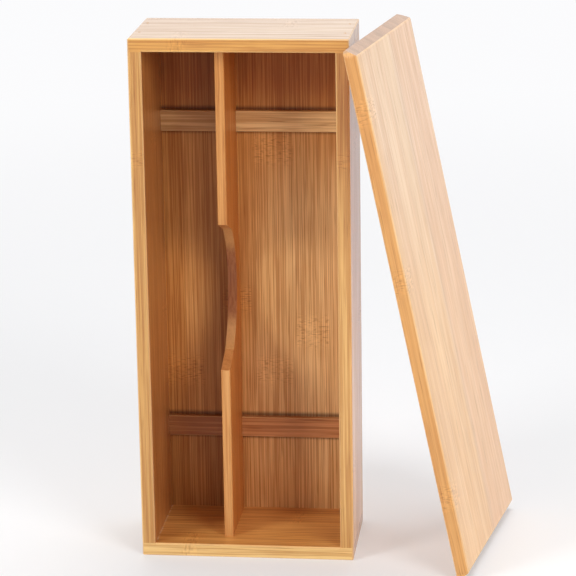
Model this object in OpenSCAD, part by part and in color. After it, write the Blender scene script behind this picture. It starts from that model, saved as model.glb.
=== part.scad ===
// Bamboo chopstick box with a loose lid board.
// The box stands on one end wall with its open side facing -Y, and the lid
// board leans on the right side wall. Lengths are in millimetres.

/* [Box] */
// Outer length of the box, its height as it stands
box_length = 272; // [200:1:340]
// Outer width of the box
box_width = 110; // [80:1:150]
// Outer depth of the box, from the rim to the back
box_depth = 61.5; // [45:0.5:90]
// Thickness of the two side walls
side_wall_t = 6.8; // [5:0.2:10]
// Thickness of the two end walls
end_wall_t = 6.8; // [5:0.2:10]
// Thickness of the floor panel
floor_t = 4; // [3:0.5:6]
// How far the floor panel is let into the walls
floor_rebate = 3; // [1.5:0.5:4]
// Chamfer along the rim and the outer front edges
rim_ease = 0.6; // [0.2:0.1:1.2]
// Round on the outer back edges
back_round = 3; // [1:0.5:5]

/* [Divider] */
// Clear width of the narrow compartment
narrow_w = 34.7; // [20:0.1:40]
// Thickness of the divider
divider_t = 4.6; // [3:0.2:8]
// How far the divider's front edge lies behind the rim
divider_recess = 12.6; // [6:0.2:20]
// Chamfer along the two front edges of the divider
divider_ease = 0.5; // [0.2:0.1:1]
// Clearance between the divider and each batten
batten_gap = 0.2; // [0.1:0.1:0.5]

/* [Finger notch] */
// Length of the notch along the divider's front edge
notch_length = 77; // [50:1:110]
// Depth at which the straight ends of the notch turn into its curve
notch_shoulder = 17; // [8:1:22]
// How far each straight end runs along the divider
notch_ramp = 6.2; // [2:0.2:12]
// Depth of the notch at its middle
notch_depth = 33.4; // [26:0.2:36]

/* [Battens] */
// Width of each batten
batten_w = 10.8; // [6:0.2:20]
// How far each batten stands up from the floor panel
batten_t = 2.5; // [1.5:0.5:5]
// Distance from the middle of the box to the middle of each batten
batten_offset = 83; // [65:1:90]
// Chamfer along the battens' long edges
batten_ease = 0.3; // [0.1:0.1:0.6]

/* [Pins] */
// Diameter of the headless pins in the corner joints
pin_d = 1.4; // [1:0.1:2]
// Length of each pin
pin_length = 22; // [14:1:30]
// Depth of a pin below the end wall's outer face
pin_sink = 0.8; // [0.4:0.1:1.5]
// Distance between the pins of one joint
pin_pitch = 26; // [12:1:34]
// Radial clearance between a pin and its hole
pin_gap = 0.05; // [0.02:0.01:0.1]

/* [Lid] */
// Length of the lid board on its long face
lid_length = 276; // [204:1:344]
// Width of the lid board
lid_width = 110; // [80:1:150]
// Thickness of the lid board
lid_t = 7; // [5:0.2:10]
// How far each end of the lid slopes in across its thickness
lid_bevel = 4; // [1:0.5:6]
// Chamfer along the lid's edges
lid_ease = 0.6; // [0.2:0.1:1.2]
// Radius of the lid's corners, seen on its large faces
lid_corner_r = 5; // [1.5:0.5:10]

/* [Lid leaning on the box] */
// Angle between the leaning lid and the upright
lid_lean = 12.1; // [6:0.1:20]
// Turn of the lid about the upright, away from the box's side
lid_turn = 9.8; // [2:0.2:20]
// Distance from the lid's near edge to the box's front edge, along the lid
lid_reach = 14; // [10:1:40]
// Clearance between the lid's top edge and the box's front edge
lid_gap = 0.3; // [0.2:0.1:1]

/* [Hidden] */

$fn = 48;
cut = 1; // how far a cutter runs past the face that it leaves

bamboo_rim = [0.86, 0.64, 0.37];
bamboo_face = [0.74, 0.47, 0.26];
bamboo_strip = [0.67, 0.43, 0.24];
bamboo_pale = [0.95, 0.83, 0.70];
pin_steel = [0.62, 0.60, 0.57];

half_w = box_width / 2;
half_d = box_depth / 2;
rim_y = -half_d;
floor_y = half_d - floor_t; // inner face of the floor panel
inner_w = box_width - 2 * side_wall_t;
inner_l = box_length - 2 * end_wall_t;
middle_z = box_length / 2;
divider_x = -inner_w / 2 + narrow_w; // left face of the divider
divider_y = rim_y + divider_recess; // front edge of the divider
bevel_angle = atan2(lid_t, lid_bevel); // between the lid's long face and its sloping ends
end_foot = lid_ease / tan(bevel_angle / 2); // how far the chamfer at that edge runs along each face

// Outer block: eased around the front, rounded around the back
module outer_plan() {
    difference() {
        translate([-half_w, -half_d]) square([box_width, box_depth]);
        for (s = [-1, 1]) {
            translate([s * half_w, -half_d]) rotate(45) square(rim_ease * sqrt(2), center = true);
            translate([s * half_w, half_d]) rotate(s > 0 ? 0 : 90) round_cutter(back_round);
        }
    }
}

// What a round of radius r takes off a corner at the origin, up and to the right of the solid
module round_cutter(r) {
    difference() {
        translate([-r, -r]) square(r + cut);
        translate([-r, -r]) circle(r);
    }
}

module outer_side() {
    difference() {
        translate([-half_d, 0]) square([box_depth, box_length]);
        for (upper = [0, 1]) {
            translate([-half_d, upper * box_length]) rotate(45) square(rim_ease * sqrt(2), center = true);
            translate([half_d, upper * box_length]) rotate(upper > 0 ? 0 : -90) round_cutter(back_round);
        }
    }
}

module outer_front() {
    difference() {
        translate([-half_w, 0]) square([box_width, box_length]);
        for (x = [-half_w, half_w], z = [0, box_length])
            translate([x, z]) rotate(45) square(rim_ease * sqrt(2), center = true);
    }
}

module outer_block() {
    intersection() {
        linear_extrude(box_length) outer_plan();
        translate([-half_w, 0, 0]) rotate([90, 0, 90]) linear_extrude(box_width) outer_side();
        translate([0, half_d, 0]) rotate([90, 0, 0]) linear_extrude(box_depth) outer_front();
    }
}

// Triangular bar that chamfers one inner edge of the rim
module rim_bar(length) {
    translate([0, 0, -length / 2]) linear_extrude(length)
        rotate(45) square(rim_ease * sqrt(2), center = true);
}

// Everything inside the walls: the cavity, its eased rim and the rebate for the floor panel
module cavity() {
    translate([-inner_w / 2, rim_y - cut, end_wall_t]) cube([inner_w, box_depth + 2 * cut, inner_l]);
    for (s = [-1, 1]) {
        translate([s * inner_w / 2, rim_y, middle_z]) rim_bar(inner_l);
        translate([0, rim_y, middle_z + s * inner_l / 2]) rotate([0, 90, 0]) rim_bar(inner_w);
    }
    floor_slab(cut);
}

// The floor panel's slab, let into all four walls and run past the back by extra
module floor_slab(extra) {
    slab_w = inner_w + 2 * floor_rebate;
    slab_l = inner_l + 2 * floor_rebate;
    translate([-slab_w / 2, floor_y, middle_z - slab_l / 2]) cube([slab_w, floor_t + extra, slab_l]);
}

module wall_shell() {
    difference() {
        outer_block();
        cavity();
    }
}

// Where the corner pins stand: one joint at each end of each side wall
module at_pins() {
    for (side = [-1, 1], upper = [0, 1], y = [-1, 1])
        translate([side * (half_w - side_wall_t / 2), y * pin_pitch / 2, upper * box_length])
            rotate([upper * 180, 0, 0]) translate([0, 0, pin_sink]) children();
}

module pin_holes() {
    at_pins() cylinder(d = pin_d + 2 * pin_gap, h = pin_length);
    at_pins() translate([0, 0, -pin_sink - cut]) cylinder(d = pin_d, h = pin_sink + cut);
}

module side_wall(side) {
    color(bamboo_rim) difference() {
        intersection() {
            wall_shell();
            translate([side > 0 ? inner_w / 2 : -half_w, rim_y, end_wall_t])
                cube([side_wall_t, box_depth, inner_l]);
        }
        pin_holes();
    }
}

module side_wall_left() { side_wall(-1); }

module side_wall_right() { side_wall(1); }

// The end walls run the full width and cap the side walls
module end_wall(low_z) {
    color(bamboo_rim) difference() {
        intersection() {
            wall_shell();
            translate([-half_w, rim_y, low_z]) cube([box_width, box_depth, end_wall_t]);
        }
        pin_holes();
    }
}

module end_wall_upper() { end_wall(box_length - end_wall_t); }

module end_wall_lower() { end_wall(0); }

module floor_panel() {
    color(bamboo_face) floor_slab(0);
}

// Side view of the divider's notch: straight ends, then one arc through its deepest point
module notch_profile() {
    half = notch_length / 2;
    arc_half = half - notch_ramp;
    arc_rise = notch_depth - notch_shoulder;
    arc_r = (arc_half * arc_half + arc_rise * arc_rise) / (2 * arc_rise);
    polygon([
        [-cut, -half], [0, -half], [notch_shoulder, -arc_half],
        [notch_shoulder, arc_half], [0, half], [-cut, half]
    ]);
    intersection() {
        translate([notch_depth - arc_r, 0]) circle(arc_r, $fn = 96);
        translate([notch_shoulder - 0.5 * cut, -arc_half]) square([notch_depth, 2 * arc_half]);
    }
}

// Side view of the divider: its front edge at 0, with a notch over each batten at its back
module divider_profile() {
    depth = floor_y - divider_y;
    difference() {
        translate([0, -inner_l / 2]) square([depth, inner_l]);
        notch_profile();
        for (s = [-1, 1])
            translate([depth - batten_t - batten_gap, s * batten_offset - batten_w / 2 - batten_gap])
                square([batten_t + batten_gap + cut, batten_w + 2 * batten_gap]);
    }
}

// Section of the divider across its length, with its front edges chamfered
module divider_section() {
    depth = floor_y - divider_y;
    polygon([
        [0, divider_ease], [divider_ease, 0], [divider_t - divider_ease, 0],
        [divider_t, divider_ease], [divider_t, depth], [0, depth]
    ]);
}

module divider() {
    color(bamboo_face) translate([divider_x, divider_y, 0]) intersection() {
        translate([-cut, 0, middle_z]) rotate([90, 0, 90])
            linear_extrude(divider_t + 2 * cut) divider_profile();
        translate([0, 0, end_wall_t]) linear_extrude(inner_l) divider_section();
    }
}

// A cross strip glued to the floor panel, from one side wall to the other
module batten(z) {
    color(bamboo_strip) translate([-inner_w / 2, floor_y, z]) rotate([90, 0, 90])
        linear_extrude(inner_w) polygon([
            [0, -batten_w / 2], [0, batten_w / 2],
            [batten_ease - batten_t, batten_w / 2], [-batten_t, batten_w / 2 - batten_ease],
            [-batten_t, batten_ease - batten_w / 2], [batten_ease - batten_t, -batten_w / 2]
        ]);
}

module batten_upper() { batten(middle_z + batten_offset); }

module batten_lower() { batten(middle_z - batten_offset); }

module corner_pins() {
    color(pin_steel) at_pins() cylinder(d = pin_d, h = pin_length);
}

// The lid lies in its own frame: length along Z, width along Y, thickness along X,
// with its long face at x = 0 and its lower near corner at the origin
module lid_section() {
    ease_x = lid_ease * sin(bevel_angle);
    ease_z = lid_ease * cos(bevel_angle);
    polygon([
        [0, end_foot], [end_foot * sin(bevel_angle), end_foot * cos(bevel_angle)],
        [lid_t - ease_x, lid_bevel - ease_z], [lid_t, lid_bevel + lid_ease],
        [lid_t, lid_length - lid_bevel - lid_ease], [lid_t - ease_x, lid_length - lid_bevel + ease_z],
        [end_foot * sin(bevel_angle), lid_length - end_foot * cos(bevel_angle)], [0, lid_length - end_foot]
    ]);
}

module lid_outline() {
    difference() {
        square([lid_width, lid_length]);
        for (corner = [[1, 1, 0], [0, 1, 90], [0, 0, 180], [1, 0, 270]])
            translate([corner[0] * lid_width, corner[1] * lid_length]) rotate(corner[2])
                round_cutter(lid_corner_r);
    }
}

module lid_edge_view() {
    difference() {
        square([lid_t, lid_width]);
        for (x = [0, lid_t], y = [0, lid_width])
            translate([x, y]) rotate(45) square(lid_ease * sqrt(2), center = true);
    }
}

module lid_board() {
    intersection() {
        translate([0, lid_width, 0]) rotate([90, 0, 0]) linear_extrude(lid_width) lid_section();
        rotate([90, 0, 90]) linear_extrude(lid_t) lid_outline();
        linear_extrude(lid_length) lid_edge_view();
    }
}

// The board stands on its lower edge. Its upper edge rests on the box's front right edge,
// or its long face rests on that edge's top, where the board reaches past the box
lid_low_face = end_foot * cos(lid_lean);
lid_low_end = end_foot * cos(bevel_angle - lid_lean);
lid_drop = min(lid_low_face, lid_low_end);
lid_edge_run = (lid_length - end_foot) * sin(lid_lean);
lid_face_run = (box_length + lid_drop) * tan(lid_lean);
lid_top_run = min(lid_edge_run, lid_face_run) + lid_gap;
lid_near_x = half_w + lid_top_run * cos(lid_turn) - lid_reach * sin(lid_turn);
lid_near_y = -half_d - lid_top_run * sin(lid_turn) - lid_reach * cos(lid_turn);

module lid() {
    color(bamboo_pale)
        translate([lid_near_x, lid_near_y, -lid_drop]) rotate([0, 0, -lid_turn])
            rotate([0, -lid_lean, 0]) lid_board();
}

side_wall_left();
side_wall_right();
end_wall_upper();
end_wall_lower();
floor_panel();
divider();
batten_upper();
batten_lower();
corner_pins();
lid();
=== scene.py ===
# Bamboo chopstick box standing on its end, with its loose lid board leaning on it
import math
import bpy
from mathutils import Matrix, Vector

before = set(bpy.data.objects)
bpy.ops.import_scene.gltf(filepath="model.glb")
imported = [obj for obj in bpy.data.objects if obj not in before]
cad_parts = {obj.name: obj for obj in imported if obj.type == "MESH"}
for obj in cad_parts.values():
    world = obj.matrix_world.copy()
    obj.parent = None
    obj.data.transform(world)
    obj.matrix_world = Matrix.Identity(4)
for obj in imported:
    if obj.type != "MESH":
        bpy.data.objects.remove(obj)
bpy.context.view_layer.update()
print("frame loaded:", len(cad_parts), "nodes")


# Small helpers for node trees

def feed(tree, target, source):  # a link from another node's socket, or a fixed value
    if isinstance(source, bpy.types.NodeSocket):
        tree.links.new(source, target)
    else:
        target.default_value = source


def addNode(tree, kind, sources=None, **settings):
    newNode = tree.nodes.new(kind)
    for name, value in settings.items():
        setattr(newNode, name, value)
    for socketName, source in (sources or {}).items():
        feed(tree, newNode.inputs[socketName], source)
    return newNode


def calc(tree, operation, *values, clamp=False):
    sources = dict(enumerate(values))
    return addNode(tree, "ShaderNodeMath", sources, operation=operation, use_clamp=clamp).outputs[0]


def times(tree, first, *others):
    product = first
    for factor in others:
        product = calc(tree, "MULTIPLY", product, factor)
    return product


def vectorCalc(tree, operation, first, second):
    sources = {0: first, 1: second}
    return addNode(tree, "ShaderNodeVectorMath", sources, operation=operation).outputs[0]


def fade(tree, value, start, end):  # 0 at start, 1 at end, smooth between them
    sources = {"Value": value, "From Min": start, "From Max": end}
    smooth = addNode(tree, "ShaderNodeMapRange", sources, interpolation_type="SMOOTHSTEP")
    return smooth.outputs["Result"]


def splitVector(tree, vector):
    parts = addNode(tree, "ShaderNodeSeparateXYZ", {"Vector": vector})
    return [parts.outputs[axis] for axis in "XYZ"]


def joinVector(tree, x, y, z):
    return addNode(tree, "ShaderNodeCombineXYZ", {"X": x, "Y": y, "Z": z}).outputs["Vector"]


def noise(tree, vector, scale, detail=2.0, roughness=0.5):  # scale is waves per metre on each axis
    stretched = vectorCalc(tree, "MULTIPLY", vector, scale)
    sources = {"Vector": stretched, "Scale": 1.0, "Detail": detail, "Roughness": roughness}
    return addNode(tree, "ShaderNodeTexNoise", sources).outputs["Fac"]


def mixColour(tree, amount, under, over, blend="MIX"):
    mix = addNode(tree, "ShaderNodeMix", data_type="RGBA", blend_type=blend)
    colourInputs = [socket for socket in mix.inputs if socket.type == "RGBA"]
    feed(tree, next(socket for socket in mix.inputs if socket.type == "VALUE"), amount)
    feed(tree, colourInputs[0], under)
    feed(tree, colourInputs[1], over)
    return next(socket for socket in mix.outputs if socket.type == "RGBA")


def colour(red, green, blue):  # from the 0-255 values of a colour picker
    def linear(value):
        value /= 255
        return value / 12.92 if value <= 0.04045 else ((value + 0.055) / 1.055) ** 2.4
    return (linear(red), linear(green), linear(blue), 1.0)


def newGroup(name, inputs, outputs):
    group = bpy.data.node_groups.new(name, "ShaderNodeTree")
    for socketName, default in inputs.items():
        kind = "NodeSocketVector" if default is None else "NodeSocketFloat"
        socket = group.interface.new_socket(socketName, in_out="INPUT", socket_type=kind)
        if default is not None:
            socket.default_value = default
    for socketName in outputs:
        group.interface.new_socket(socketName, in_out="OUTPUT", socket_type="NodeSocketFloat")
    entry = group.nodes.new("NodeGroupInput")
    leave = group.nodes.new("NodeGroupOutput")
    return group, entry.outputs, leave.inputs


def useGroup(tree, group, sources):
    placed = tree.nodes.new("ShaderNodeGroup")
    placed.node_tree = group
    for socketName, source in sources.items():
        feed(tree, placed.inputs[socketName], source)
    return placed.outputs


def newMaterial(name):
    material = bpy.data.materials.new(name)
    material.use_nodes = True
    material.node_tree.nodes.clear()
    return material, material.node_tree


def seenRays(tree):  # 1 where the camera, a gloss or a glass looks, 0 for light that falls on the box
    path = addNode(tree, "ShaderNodeLightPath").outputs
    seen = calc(tree, "ADD", path["Is Camera Ray"], path["Is Glossy Ray"], clamp=True)
    return calc(tree, "ADD", seen, path["Is Transmission Ray"], clamp=True)


# Shared effects

# A grain position has X across the strips, Y through the board and Z along the grain, in metres.
# A pair of values is where a fade starts and where it ends
stripValues = {"jointWidth": 0.0005}


def makeStripGroup():  # the laminated strips that a board is glued up from
    group, given, out = newGroup(
        "bambooStrips",
        {"Position": None, "Strip Width": 0.02, "Shift": 0.0, "Seed": 0.0},
        ["Tone", "Joint"])
    across = splitVector(group, given["Position"])[0]
    scaled = calc(group, "DIVIDE", calc(group, "ADD", across, given["Shift"]), given["Strip Width"])
    index = calc(group, "FLOOR", scaled)
    seeded = calc(group, "ADD", index, given["Seed"])
    white = addNode(group, "ShaderNodeTexWhiteNoise", {"W": seeded}, noise_dimensions="1D")
    group.links.new(white.outputs["Value"], out["Tone"])
    inStrip = calc(group, "SUBTRACT", scaled, index)
    fromMiddle = calc(group, "ABSOLUTE", calc(group, "SUBTRACT", inStrip, 0.5))
    fromEdge = times(group, calc(group, "SUBTRACT", 0.5, fromMiddle), given["Strip Width"])
    group.links.new(fade(group, fromEdge, stripValues["jointWidth"], 0.0), out["Joint"])
    return group


# Across is a share of the lines per metre, along is waves per metre
fibreValues = {
    "Streak": {"across": 0.22, "along": 7.0, "detail": 3.0, "roughness": 0.55, "fade": (0.34, 0.66)},
    "Line": {"across": 1.0, "along": 13.0, "detail": 2.0, "roughness": 0.55, "fade": (0.40, 0.60)},
    "Fibre": {"across": 2.7, "along": 40.0, "detail": 2.0, "roughness": 0.6, "fade": (0.34, 0.66)},
    "Pores": {"across": 1.5, "along": 45.0, "detail": 1.0, "roughness": 0.5, "fade": (0.62, 0.76)},
}
cloudValues = {"scale": (48.0, 48.0, 16.0), "detail": 3.0, "roughness": 0.55, "fade": (0.36, 0.64)}
toneOffset = 9.0  # metres that a strip's tone moves its pattern by, so that no two strips match


def makeFibreGroup():  # clouds, streaks, lines and pores that run along the grain
    group, given, out = newGroup(
        "bambooFibres",
        {"Position": None, "Tone": 0.0, "Lines per Metre": 900.0},
        ["Cloud"] + list(fibreValues))
    offset = times(group, given["Tone"], toneOffset)
    moved = vectorCalc(group, "ADD", given["Position"], joinVector(group, offset, offset, offset))
    cloud = noise(group, moved, cloudValues["scale"], cloudValues["detail"], cloudValues["roughness"])
    group.links.new(fade(group, cloud, *cloudValues["fade"]), out["Cloud"])
    for name, values in fibreValues.items():
        across = times(group, given["Lines per Metre"], values["across"])
        scale = joinVector(group, across, across, values["along"])
        pattern = noise(group, moved, scale, values["detail"], values["roughness"])
        group.links.new(fade(group, pattern, *values["fade"]), out[name])
    return group


knuckleValues = {
    "innerWidth": 0.8,  # share of the half width that is marked in full
    "innerHeight": 0.35,  # share of the height that is marked in full
    "waveScale": (260.0, 260.0, 40.0),
    "waveSize": 0.008,
    "dashScale": (340.0, 340.0, 1350.0),
    "darkDashes": (0.46, 0.34),
    "lightDashes": (0.50, 0.62),
    "haze": 0.3,  # lightness between the dashes, as a share of theirs
    "lineWidth": (0.0011, 0.0003),
    "lineBreaks": (0.38, 0.52),
    "lineDepth": 0.3,
}


def makeKnuckleGroup():  # a node of the stem, where one strip's fibres break up into short dashes
    values = knuckleValues
    group, given, out = newGroup(
        "bambooKnuckle",
        {"Position": None, "Across": 0.0, "Along": 0.0, "Half Width": 0.009, "Height": 0.006},
        ["Dark", "Light"])
    centre = joinVector(group, given["Across"], 0.0, given["Along"])
    relative = vectorCalc(group, "SUBTRACT", given["Position"], centre)
    across, along = splitVector(group, relative)[::2]
    innerWidth = times(group, given["Half Width"], values["innerWidth"])
    inside = fade(group, calc(group, "ABSOLUTE", across), given["Half Width"], innerWidth)
    wave = noise(group, relative, values["waveScale"])
    sway = times(group, calc(group, "SUBTRACT", wave, 0.5), values["waveSize"])
    height = calc(group, "ABSOLUTE", calc(group, "ADD", along, sway))
    innerHeight = times(group, given["Height"], values["innerHeight"])
    area = times(group, inside, fade(group, height, given["Height"], innerHeight))
    dashes = noise(group, given["Position"], values["dashScale"], detail=1.5)
    broken = fade(group, dashes, *values["lineBreaks"])
    middleLine = times(group, fade(group, height, *values["lineWidth"]), broken, inside)
    darkDashes = times(group, fade(group, dashes, *values["darkDashes"]), area)
    dark = calc(group, "MAXIMUM", darkDashes, times(group, middleLine, values["lineDepth"]))
    group.links.new(dark, out["Dark"])
    lightDashes = fade(group, dashes, *values["lightDashes"])
    pale = calc(group, "MULTIPLY_ADD", lightDashes, 1.0 - values["haze"], values["haze"])
    group.links.new(times(group, pale, area), out["Light"])
    return group


endGrainValues = {
    "randomness": 0.9,
    "dotEdge": (0.42, 0.18),
    "slant": 0.5,  # how far a row drifts across the strips for each metre through the board
    "rowScale": (150.0, 40.0, 1.0),
    "rowFade": (0.38, 0.64),
}


def makeEndGrainGroup():  # dark bundle ends, and the darker and lighter rows that they lie in
    values = endGrainValues
    group, given, out = newGroup(
        "bambooEndGrain",
        {"Position": None, "Dots per Metre": 1150.0},
        ["Dots", "Rows"])
    across, through = splitVector(group, given["Position"])[:2]
    flat = joinVector(group, across, through, 0.0)
    size = joinVector(group, given["Dots per Metre"], given["Dots per Metre"], 1.0)
    scaled = vectorCalc(group, "MULTIPLY", flat, size)
    cells = addNode(group, "ShaderNodeTexVoronoi", {
        "Vector": scaled, "Scale": 1.0, "Randomness": values["randomness"]})
    group.links.new(fade(group, cells.outputs["Distance"], *values["dotEdge"]), out["Dots"])
    drift = calc(group, "MULTIPLY_ADD", through, values["slant"], across)
    slanted = joinVector(group, drift, through, 0.0)
    rows = noise(group, slanted, values["rowScale"], detail=3.0, roughness=0.6)
    group.links.new(fade(group, rows, *values["rowFade"]), out["Rows"])
    return group


# The largest part of the normal, on a flat face and on an eased edge
easedEdgeValues = {"largest": (0.95, 0.80)}


def makeEasedEdgeGroup():  # where the board's own faces meet in a chamfer or a round
    group, given, out = newGroup("easedEdge", {"Normal": None}, ["Edge"])
    x, y, z = [calc(group, "ABSOLUTE", part) for part in splitVector(group, given["Normal"])]
    largest = calc(group, "MAXIMUM", x, calc(group, "MAXIMUM", y, z))
    group.links.new(fade(group, largest, *easedEdgeValues["largest"]), out["Edge"])
    return group


lacquerValues = {"patchScale": (60.0, 60.0, 18.0), "fibreRelief": 0.5, "lineRelief": 0.5}


def makeLacquerGroup():  # uneven gloss of a thin satin lacquer over the fibres
    values = lacquerValues
    group, given, out = newGroup(
        "satinLacquer",
        {"Position": None, "Fibre": 0.5, "Line": 0.5, "Roughness": 0.4, "Spread": 0.1},
        ["Roughness", "Height"])
    patches = noise(group, given["Position"], values["patchScale"], detail=3.0)
    uneven = times(group, calc(group, "SUBTRACT", patches, 0.5), given["Spread"])
    dull = times(group, calc(group, "SUBTRACT", 0.5, given["Fibre"]), given["Spread"])
    spread = calc(group, "ADD", uneven, dull)
    group.links.new(calc(group, "ADD", given["Roughness"], spread, clamp=True), out["Roughness"])
    fibreRidges = times(group, given["Fibre"], values["fibreRelief"])
    lineRidges = times(group, given["Line"], values["lineRelief"])
    group.links.new(calc(group, "ADD", fibreRidges, lineRidges), out["Height"])
    return group


stripGroup = makeStripGroup()
fibreGroup = makeFibreGroup()
knuckleGroup = makeKnuckleGroup()
endGrainGroup = makeEndGrainGroup()
easedEdgeGroup = makeEasedEdgeGroup()
lacquerGroup = makeLacquerGroup()
print("shared effects made")


# Bamboo boards

# look["axes"] names the board's axes across its strips, through it and along its grain, in turn
def bambooMaterial(name, look):
    material, tree = newMaterial(name)
    surface = addNode(tree, "ShaderNodeBsdfPrincipled")
    output = addNode(tree, "ShaderNodeOutputMaterial")
    tree.links.new(surface.outputs["BSDF"], output.inputs["Surface"])

    # The board's own frame, which differs from the object's only where a board leans
    coordinates = addNode(tree, "ShaderNodeTexCoord").outputs
    place = {"Vector": coordinates["Object"], "Location": look["origin"], "Rotation": look["turn"]}
    facing = {"Vector": coordinates["Normal"], "Rotation": look["turn"]}
    local = addNode(tree, "ShaderNodeMapping", place, vector_type="TEXTURE").outputs["Vector"]
    localNormal = addNode(tree, "ShaderNodeMapping", facing, vector_type="TEXTURE").outputs["Vector"]
    parts = dict(zip("xyz", splitVector(tree, local)))
    normals = dict(zip("xyz", splitVector(tree, localNormal)))
    grain = joinVector(tree, *[parts[axis] for axis in look["axes"]])

    strips = useGroup(tree, stripGroup, {
        "Position": grain, "Strip Width": look["stripWidth"], "Shift": look["stripShift"],
        "Seed": look["seed"]})
    fibres = useGroup(tree, fibreGroup, {
        "Position": grain, "Tone": strips["Tone"], "Lines per Metre": look["lines"]})
    paint = mixColour(tree, strips["Tone"], look["dark"], look["light"])

    for area in look["zones"]:
        mask = area["depth"]
        for axis, (low, high) in area["within"].items():
            rise = fade(tree, parts[axis], low - area["soft"], low + area["soft"])
            fall = fade(tree, parts[axis], high + area["soft"], high - area["soft"])
            mask = times(tree, mask, times(tree, rise, fall))
        for axis, sign in area["facing"].items():
            towards = fade(tree, times(tree, normals[axis], sign), *area["slope"])
            mask = times(tree, mask, towards)
        if area["crumbs"]:
            crumbs = noise(tree, local, (area["crumbs"],) * 3)
            mask = times(tree, mask, fade(tree, crumbs, *area["crumbEdge"]))
        paint = mixColour(tree, mask, paint, area["tint"])

    # The grain darkens or lightens whatever tone it runs over
    for mask, depth, tint in (
            (fibres["Cloud"], look["cloudDepth"], look["cloudTint"]),
            (fibres["Streak"], look["streakDepth"], look["streakTint"]),
            (fibres["Line"], look["lineDepth"], look["lineTint"]),
            (fibres["Fibre"], look["fibreDepth"], look["fibreTint"]),
            (fibres["Pores"], look["poreDepth"], look["poreTint"]),
            (strips["Joint"], look["jointDepth"], look["poreTint"])):
        paint = mixColour(tree, times(tree, mask, depth), paint, tint, blend="MULTIPLY")
    for across, along, halfWidth, height, depth in look["knuckles"]:
        knuckle = useGroup(tree, knuckleGroup, {
            "Position": grain, "Across": across, "Along": along, "Half Width": halfWidth,
            "Height": height})
        light = times(tree, knuckle["Light"], depth)
        paint = mixColour(tree, light, paint, look["knuckleLight"], blend="MULTIPLY")
        dark = times(tree, knuckle["Dark"], depth)
        paint = mixColour(tree, dark, paint, look["knuckleDark"], blend="MULTIPLY")

    endFacing = calc(tree, "ABSOLUTE", normals[look["axes"][2]])
    ends = useGroup(tree, endGrainGroup, {"Position": grain})
    dots = times(tree, ends["Dots"], look["dotDepth"])
    endPaint = mixColour(tree, ends["Rows"], look["endColour"], look["endShade"])
    endPaint = mixColour(tree, dots, endPaint, look["poreTint"], blend="MULTIPLY")
    paint = mixColour(tree, fade(tree, endFacing, *look["endSlope"]), paint, endPaint)

    # Eased edges get a lighter colour, a painted highlight along each chamfer
    edge = useGroup(tree, easedEdgeGroup, {"Normal": localNormal})["Edge"]
    paint = mixColour(tree, times(tree, edge, look["edgeHighlightDepth"]), paint, look["edgeHighlight"])
    tree.links.new(paint, surface.inputs["Base Color"])

    film = useGroup(tree, lacquerGroup, {
        "Position": grain, "Fibre": fibres["Fibre"], "Line": fibres["Line"],
        "Roughness": look["roughness"], "Spread": look["glossSpread"]})
    tree.links.new(film["Roughness"], surface.inputs["Roughness"])
    bump = addNode(tree, "ShaderNodeBump", {
        "Height": film["Height"], "Strength": look["bump"], "Distance": look["bumpDistance"]})
    tree.links.new(bump.outputs["Normal"], surface.inputs["Normal"])
    surface.inputs["Specular IOR Level"].default_value = look["specular"]
    surface.inputs["Coat Weight"].default_value = look["coat"]
    surface.inputs["Coat Roughness"].default_value = look["coatRoughness"]
    return material


def dress(nodeName, material):
    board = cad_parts[nodeName]
    board.data.materials.clear()
    board.data.materials.append(material)


# A zone is the tone of one face, band or corner. It lies within soft limits in the board's own frame,
# in metres, on the faces that point its way. Crumbs, per metre, break it up
zoneBase = {
    "within": {},
    "soft": 0.0006,
    "facing": {},
    "slope": (0.6, 0.9),
    "crumbs": 0.0,
    "crumbEdge": (0.44, 0.56),
}


def zone(depth, tint, **limits):
    return dict(zoneBase, depth=depth, tint=colour(*tint), **limits)


# A plain tint multiplies the tone below it by its depth, above 1 makes it lighter. Sizes are in metres
bambooBase = {
    "origin": (0.0, 0.0, 0.0),
    "turn": (0.0, 0.0, 0.0),
    "axes": "xyz",
    "stripWidth": 0.0205,
    "stripShift": 0.0,
    "seed": 3.0,
    "lines": 900.0,  # per metre
    "dark": colour(220, 169, 92),
    "light": colour(241, 197, 124),
    "zones": [],
    "cloudDepth": 0.5,
    "cloudTint": (0.84, 0.76, 0.66, 1.0),
    "streakDepth": 0.5,
    "streakTint": (0.86, 0.76, 0.62, 1.0),
    "lineDepth": 0.8,
    "lineTint": (0.72, 0.55, 0.40, 1.0),
    "fibreDepth": 0.75,
    "fibreTint": (1.14, 1.17, 1.18, 1.0),
    "poreDepth": 0.65,
    "poreTint": (0.58, 0.42, 0.28, 1.0),
    "jointDepth": 0.35,
    "knuckles": [],  # each one's place across and along, half width, height and depth
    "knuckleDark": (0.56, 0.42, 0.30, 1.0),
    "knuckleLight": (1.24, 1.25, 1.20, 1.0),
    "endColour": colour(212, 164, 116),
    "endShade": colour(178, 128, 86),
    "endSlope": (0.5, 0.7),
    "dotDepth": 0.5,
    # Painted highlight along the eased edges
    "edgeHighlightDepth": 0.42,
    "edgeHighlight": colour(250, 208, 146),
    "roughness": 0.42,
    "glossSpread": 0.12,
    "bump": 0.4,
    "bumpDistance": 0.00012,
    "specular": 0.35,
    "coat": 0.8,
    "coatRoughness": 0.22,
}
towardsFront = {"y": -1.0}
towardsRight = {"x": 1.0}
towardsLeft = {"x": -1.0}
towardsBack = {"y": 1.0}
towardsTop = {"z": 1.0}
leftOfDivider = (-0.06, -0.0135)

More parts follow.
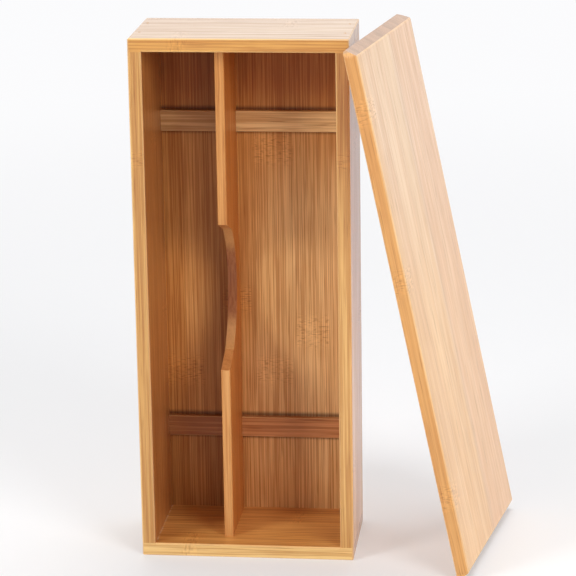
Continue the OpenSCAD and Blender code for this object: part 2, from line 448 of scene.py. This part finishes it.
# Both side walls share one look, so its zones are also placed by x
sideWallLook = dict(
    bambooBase, axes="yxz", seed=11.0, stripShift=0.0308, coat=0.65,
    knuckles=[(-0.020, 0.047, 0.011, 0.006, 0.6), (0.0, 0.213, 0.010, 0.006, 0.6),
              (0.018, 0.118, 0.009, 0.006, 0.6), (-0.0305, 0.211, 0.005, 0.006, 0.5)],
    zones=[
        # Inner faces, and painted light on the left one's lower part
        zone(0.85, (184, 120, 64), within={"x": (-0.0486, 0.0486)}, soft=0.0002),
        zone(0.25, (222, 154, 92), facing=towardsRight, within={"x": (-0.09, 0.0), "z": (-0.06, 0.12)},
             soft=0.025),
        # Outer faces, paled with a painted sheen
        zone(0.8, (236, 194, 146), facing=towardsRight, within={"x": (0.05, 0.06)}),
        zone(0.8, (236, 194, 146), facing=towardsLeft, within={"x": (-0.06, -0.05)}),
        # Left rim, right rim, and a painted shadow of the lid on the right rim's upper part
        zone(0.6, (212, 167, 102), facing=towardsFront, within={"x": (-0.06, -0.04)}),
        zone(0.4, (246, 214, 150), facing=towardsFront, within={"x": (0.04, 0.06)}),
        zone(0.62, (190, 120, 30), facing=towardsFront, within={"x": (0.02, 0.09), "z": (0.20, 0.32)},
             soft=0.03),
    ])

# Both end walls share one look, so its zones are also placed by z
endWallLook = dict(
    bambooBase, axes="yzx", seed=5.0, stripShift=0.0308,
    lineDepth=0.72, lineTint=(0.68, 0.52, 0.37, 1.0),
    knuckles=[(-0.024, -0.030, 0.012, 0.006, 0.4), (0.012, 0.022, 0.010, 0.005, 0.4)],
    zones=[
        # Outer face of the upper wall, paled with a painted sheen, inner face of the lower one, and
        # both rims
        zone(0.85, (232, 207, 184), facing=towardsTop, within={"z": (0.25, 0.3)}),
        zone(0.8, (232, 168, 92), facing=towardsTop, within={"z": (0.0, 0.05)}),
        zone(0.6, (224, 166, 76), facing=towardsFront, within={"z": (0.25, 0.3)}),
        zone(0.8, (255, 224, 156), facing=towardsFront, within={"z": (0.0, 0.05)}),
        # Dried glue in the lower left inner corner
        zone(0.7, (238, 216, 186), facing=towardsTop, soft=0.0003, crumbs=420.0,
             within={"x": (-0.0485, -0.0474), "y": (-0.026, 0.027), "z": (0.0, 0.05)}),
    ])

floorPanelLook = dict(
    bambooBase, seed=21.0, stripWidth=0.019, lines=1650.0,
    dark=colour(219, 155, 84), light=colour(238, 179, 109),
    lineDepth=0.72, lineTint=(0.60, 0.42, 0.28, 1.0), streakDepth=0.25, cloudDepth=0.8,
    specular=0.15, coat=0.05,
    knuckles=[(0.0095, 0.204, 0.0115, 0.011, 0.55), (-0.0105, 0.1226, 0.0085, 0.010, 0.6),
              (0.0295, 0.1057, 0.0095, 0.012, 0.55), (-0.0385, 0.0834, 0.0110, 0.011, 0.6),
              (0.009, 0.0843, 0.0105, 0.010, 0.5)],
    zones=[zone(depth, tint, facing=towardsFront, within=within, soft=soft)
           for depth, tint, within, soft in (
               # Painted shade at the upper end, painted light over the wide compartment, painted shade
               # over the narrow one and more of it by the divider
               (0.70, (156, 78, 28), {"z": (0.225, 0.30)}, 0.018),
               (0.60, (253, 217, 161), {"x": (0.008, 0.09), "z": (-0.03, 0.20)}, 0.03),
               (0.22, (144, 74, 34), {"x": leftOfDivider, "z": (-0.01, 0.30)}, 0.0006),
               (0.34, (120, 60, 28), {"x": (-0.030, -0.0135), "z": (-0.01, 0.30)}, 0.0070),
               # Painted light right of the divider, and painted shade at the narrow compartment's lower
               # end
               (0.22, (255, 215, 165), {"x": (-0.012, 0.02), "z": (-0.03, 0.10)}, 0.0150),
               (0.16, (96, 46, 26), {"x": leftOfDivider, "z": (-0.03, 0.047)}, 0.0040),
               # Painted contact shadows, thin dark lines above and below each batten
               (0.75, (88, 46, 24), {"z": (0.2244, 0.2262)}, 0.0012),
               (0.55, (96, 52, 28), {"z": (0.2122, 0.2136)}, 0.0010),
               (0.80, (80, 40, 22), {"z": (0.0584, 0.0604)}, 0.0014),
               (0.60, (90, 48, 26), {"z": (0.0462, 0.0476)}, 0.0010))])

dividerLook = dict(
    bambooBase, axes="yxz", seed=31.0,
    dark=colour(190, 118, 54), light=colour(210, 140, 72), edgeHighlight=colour(232, 176, 112),
    endColour=colour(198, 134, 78), endShade=colour(184, 118, 66), endSlope=(0.84, 0.91),
    specular=0.2, coat=0.2,
    zones=[
        # Front edge, and the notch's curve
        zone(0.7, (210, 158, 100), facing=towardsFront),
        zone(0.85, (140, 76, 40), facing=towardsFront, slope=(0.36, 0.76),
             within={"y": (-0.0148, 0.03)}),
    ])

battenUpperLook = dict(
    bambooBase, axes="zyx", seed=41.0, stripShift=0.01, lines=700.0,
    dark=colour(240, 196, 136), light=colour(250, 212, 158),
    streakDepth=0.35, lineDepth=0.75, lineTint=(0.62, 0.46, 0.33, 1.0), specular=0.2, coat=0.08,
    # Painted shade over the part left of the divider, where the divider shadows it
    zones=[zone(0.4, (152, 92, 46), within={"x": leftOfDivider})])
battenLowerLook = dict(
    battenUpperLook, seed=44.0, dark=colour(204, 138, 86), light=colour(216, 154, 100))

# The lid's own frame starts at its lower near corner and leans and turns as its solid does
lidLean = {
    "corner": (0.10971, -0.05441, -0.00069),
    "lean": math.radians(12.1),
    "turn": math.radians(9.8),
}
lidLook = dict(
    bambooBase, axes="yxz", seed=52.0, stripWidth=0.021,
    origin=lidLean["corner"], turn=(0.0, -lidLean["lean"], -lidLean["turn"]),
    # The face's pale tone is partly the bamboo's own and partly a painted reflection of the lacquer
    dark=colour(244, 203, 160), light=colour(252, 220, 179), edgeHighlightDepth=0.28, cloudDepth=0.35,
    streakDepth=0.7, streakTint=(0.90, 0.80, 0.70, 1.0),
    lineDepth=0.5, lineTint=(0.84, 0.74, 0.64, 1.0),
    endColour=colour(186, 138, 106), endShade=colour(156, 112, 84),
    knuckles=[(0.004, 0.244, 0.0085, 0.009, 0.5), (0.004, 0.157, 0.0085, 0.009, 0.5),
              (0.004, 0.044, 0.0085, 0.009, 0.5)],
    zones=[
        # Face: yellower lower part, near border, darker streak along the middle, redder far half
        zone(0.75, (251, 198, 126), facing=towardsRight, within={"z": (-0.08, 0.17)}, soft=0.07),
        zone(0.55, (238, 184, 112), facing=towardsRight, within={"y": (-0.02, 0.007)}, soft=0.007),
        zone(0.4, (224, 182, 152), facing=towardsRight, within={"y": (0.060, 0.065)}, soft=0.004),
        zone(0.35, (246, 196, 158), facing=towardsRight, within={"y": (0.064, 0.12)}, soft=0.004),
        # Near edge, far edge and back
        zone(0.9, (226, 168, 90), facing=towardsFront),
        zone(0.9, (226, 168, 90), facing=towardsBack),
        zone(0.9, (232, 174, 106), facing=towardsLeft),
    ])

sideWallBamboo = bambooMaterial("sideWallBamboo", sideWallLook)
endWallBamboo = bambooMaterial("endWallBamboo", endWallLook)
dress("side_wall_left", sideWallBamboo)
dress("side_wall_right", sideWallBamboo)
dress("end_wall_upper", endWallBamboo)
dress("end_wall_lower", endWallBamboo)
dress("floor_panel", bambooMaterial("floorPanelBamboo", floorPanelLook))
dress("divider", bambooMaterial("dividerBamboo", dividerLook))
dress("batten_upper", bambooMaterial("battenUpperBamboo", battenUpperLook))
dress("batten_lower", bambooMaterial("battenLowerBamboo", battenLowerLook))
dress("lid", bambooMaterial("lidBamboo", lidLook))
print("bamboo boards dressed")


# Headless steel pins, hidden in the corner joints

pinLook = {
    "bright": (0.62, 0.61, 0.58, 1.0),
    "dull": (0.40, 0.38, 0.35, 1.0),
    "drawnScale": (4000.0, 4000.0, 260.0),
    "roughness": 0.34,
    "scratchRoughness": 0.2,
}


def pinMaterial(look):
    material, tree = newMaterial("pinSteel")
    surface = addNode(tree, "ShaderNodeBsdfPrincipled", {"Metallic": 1.0})
    output = addNode(tree, "ShaderNodeOutputMaterial")
    tree.links.new(surface.outputs["BSDF"], output.inputs["Surface"])
    place = addNode(tree, "ShaderNodeTexCoord").outputs["Object"]
    scratches = noise(tree, place, look["drawnScale"])
    steel = mixColour(tree, scratches, look["dull"], look["bright"])
    tree.links.new(steel, surface.inputs["Base Color"])
    rough = calc(tree, "ADD", look["roughness"], times(tree, scratches, look["scratchRoughness"]))
    tree.links.new(rough, surface.inputs["Roughness"])
    return material


dress("corner_pins", pinMaterial(pinLook))
print("pins dressed")


# Floor and backdrop: one pale sheet that turns up behind the box

sheetValues = {
    "halfWidth": 8.0,
    "front": -8.0,
    "bend": 1.6,
    "radius": 0.9,
    "height": 3.0,
    "steps": 24,
    "colour": (0.87, 0.87, 0.88, 1.0),
    "glowColour": (0.968, 0.968, 0.98, 1.0),
    "nearGlow": 0.28,  # share of plain background beside the box, where its shadow shows
    "farGlow": 1.0,
    "glowReach": (0.12, 1.2),
}


def sheetMaterial(values):
    material, tree = newMaterial("paleSheet")
    matte = addNode(tree, "ShaderNodeBsdfDiffuse", {"Color": values["colour"]})
    glow = addNode(tree, "ShaderNodeEmission", {"Color": values["glowColour"], "Strength": 1.0})
    place = addNode(tree, "ShaderNodeTexCoord").outputs["Object"]
    away = addNode(tree, "ShaderNodeVectorMath", {0: place}, operation="LENGTH").outputs["Value"]
    far = fade(tree, away, *values["glowReach"])
    spread = calc(tree, "MULTIPLY_ADD", far, values["farGlow"] - values["nearGlow"], values["nearGlow"])
    share = times(tree, spread, seenRays(tree))
    blend = addNode(tree, "ShaderNodeMixShader", {0: share, 1: matte.outputs[0], 2: glow.outputs[0]})
    addNode(tree, "ShaderNodeOutputMaterial", {"Surface": blend.outputs[0]})
    return material


def makeSheet(values):
    profile = [(values["front"], 0.0), (values["bend"], 0.0)]
    for step in range(1, values["steps"] + 1):
        angle = 0.5 * math.pi * step / values["steps"]
        y = values["bend"] + values["radius"] * math.sin(angle)
        z = values["radius"] * (1.0 - math.cos(angle))
        profile.append((y, z))
    profile.append((profile[-1][0], values["height"]))
    points = [(side * values["halfWidth"], y, z) for y, z in profile for side in (-1, 1)]
    faces = [(2 * i, 2 * i + 1, 2 * i + 3, 2 * i + 2) for i in range(len(profile) - 1)]
    mesh = bpy.data.meshes.new("paleSheet")
    mesh.from_pydata(points, [], faces)
    mesh.shade_smooth()
    mesh.materials.append(sheetMaterial(values))
    sheet = bpy.data.objects.new("paleSheet", mesh)
    bpy.context.scene.collection.objects.link(sheet)


makeSheet(sheetValues)
print("floor and backdrop made")


# Studio light

worldValues = {"light": (0.95, 0.97, 1.0, 1.0), "strength": 0.32, "seen": (0.94, 0.94, 0.955, 1.0)}


def makeWorld(values):
    world = bpy.data.worlds.new("studio")
    world.use_nodes = True
    tree = world.node_tree
    tree.nodes.clear()
    light = addNode(tree, "ShaderNodeBackground", {
        "Color": values["light"], "Strength": values["strength"]})
    seen = addNode(tree, "ShaderNodeBackground", {"Color": values["seen"], "Strength": 1.0})
    blend = addNode(tree, "ShaderNodeMixShader", {
        0: seenRays(tree), 1: light.outputs[0], 2: seen.outputs[0]})
    addNode(tree, "ShaderNodeOutputWorld", {"Surface": blend.outputs[0]})
    bpy.context.scene.world = world


makeWorld(worldValues)

lampAim = Vector((0.0, 0.0, 0.12))
lampValues = {
    "leftSoftbox": {
        "place": (-1.13, -1.05, 0.72), "size": 0.55, "power": 13.5, "tint": (1.0, 0.985, 0.96)},
    "rightSoftbox": {
        "place": (1.02, -1.13, 0.90), "size": 0.7, "power": 13.0, "tint": (1.0, 0.99, 0.975)},
    "topSoftbox": {
        "place": (0.15, 0.55, 1.9), "size": 1.3, "power": 20.0, "tint": (1.0, 1.0, 1.0)},
}


def addSoftbox(name, values):
    data = bpy.data.lights.new(name, "AREA")
    data.shape = "SQUARE"
    data.size = values["size"]
    data.energy = values["power"]
    data.color = values["tint"]
    lamp = bpy.data.objects.new(name, data)
    bpy.context.scene.collection.objects.link(lamp)
    aim = lampAim - Vector(values["place"])
    turn = aim.to_track_quat("-Z", "Y").to_matrix().to_4x4()
    lamp.matrix_world = Matrix.Translation(values["place"]) @ turn


for lampName, values in lampValues.items():
    addSoftbox(lampName, values)
print("lamps placed")


# Camera at the photograph's viewing angle, in millimetres, metres and degrees

cameraValues = {
    "lens": 167.5,
    "sensor": 36.0,
    "nearest": 0.05,
    "place": (0.17099, -1.31958, 0.50721),
    "yaw": 6.543,
    "down": 15.581,
    "roll": -0.878,
}


def addCamera(values):
    data = bpy.data.cameras.new("camera")
    data.lens = values["lens"]
    data.sensor_width = values["sensor"]
    data.clip_start = values["nearest"]
    camera = bpy.data.objects.new("camera", data)
    bpy.context.scene.collection.objects.link(camera)
    turn = Matrix.Rotation(math.radians(values["yaw"]), 4, "Z")
    tilt = Matrix.Rotation(math.radians(90.0 - values["down"]), 4, "X")
    roll = Matrix.Rotation(math.radians(values["roll"]), 4, "Z")
    camera.matrix_world = Matrix.Translation(values["place"]) @ turn @ tilt @ roll
    bpy.context.scene.camera = camera


addCamera(cameraValues)
bpy.context.scene.view_settings.view_transform = "Standard"
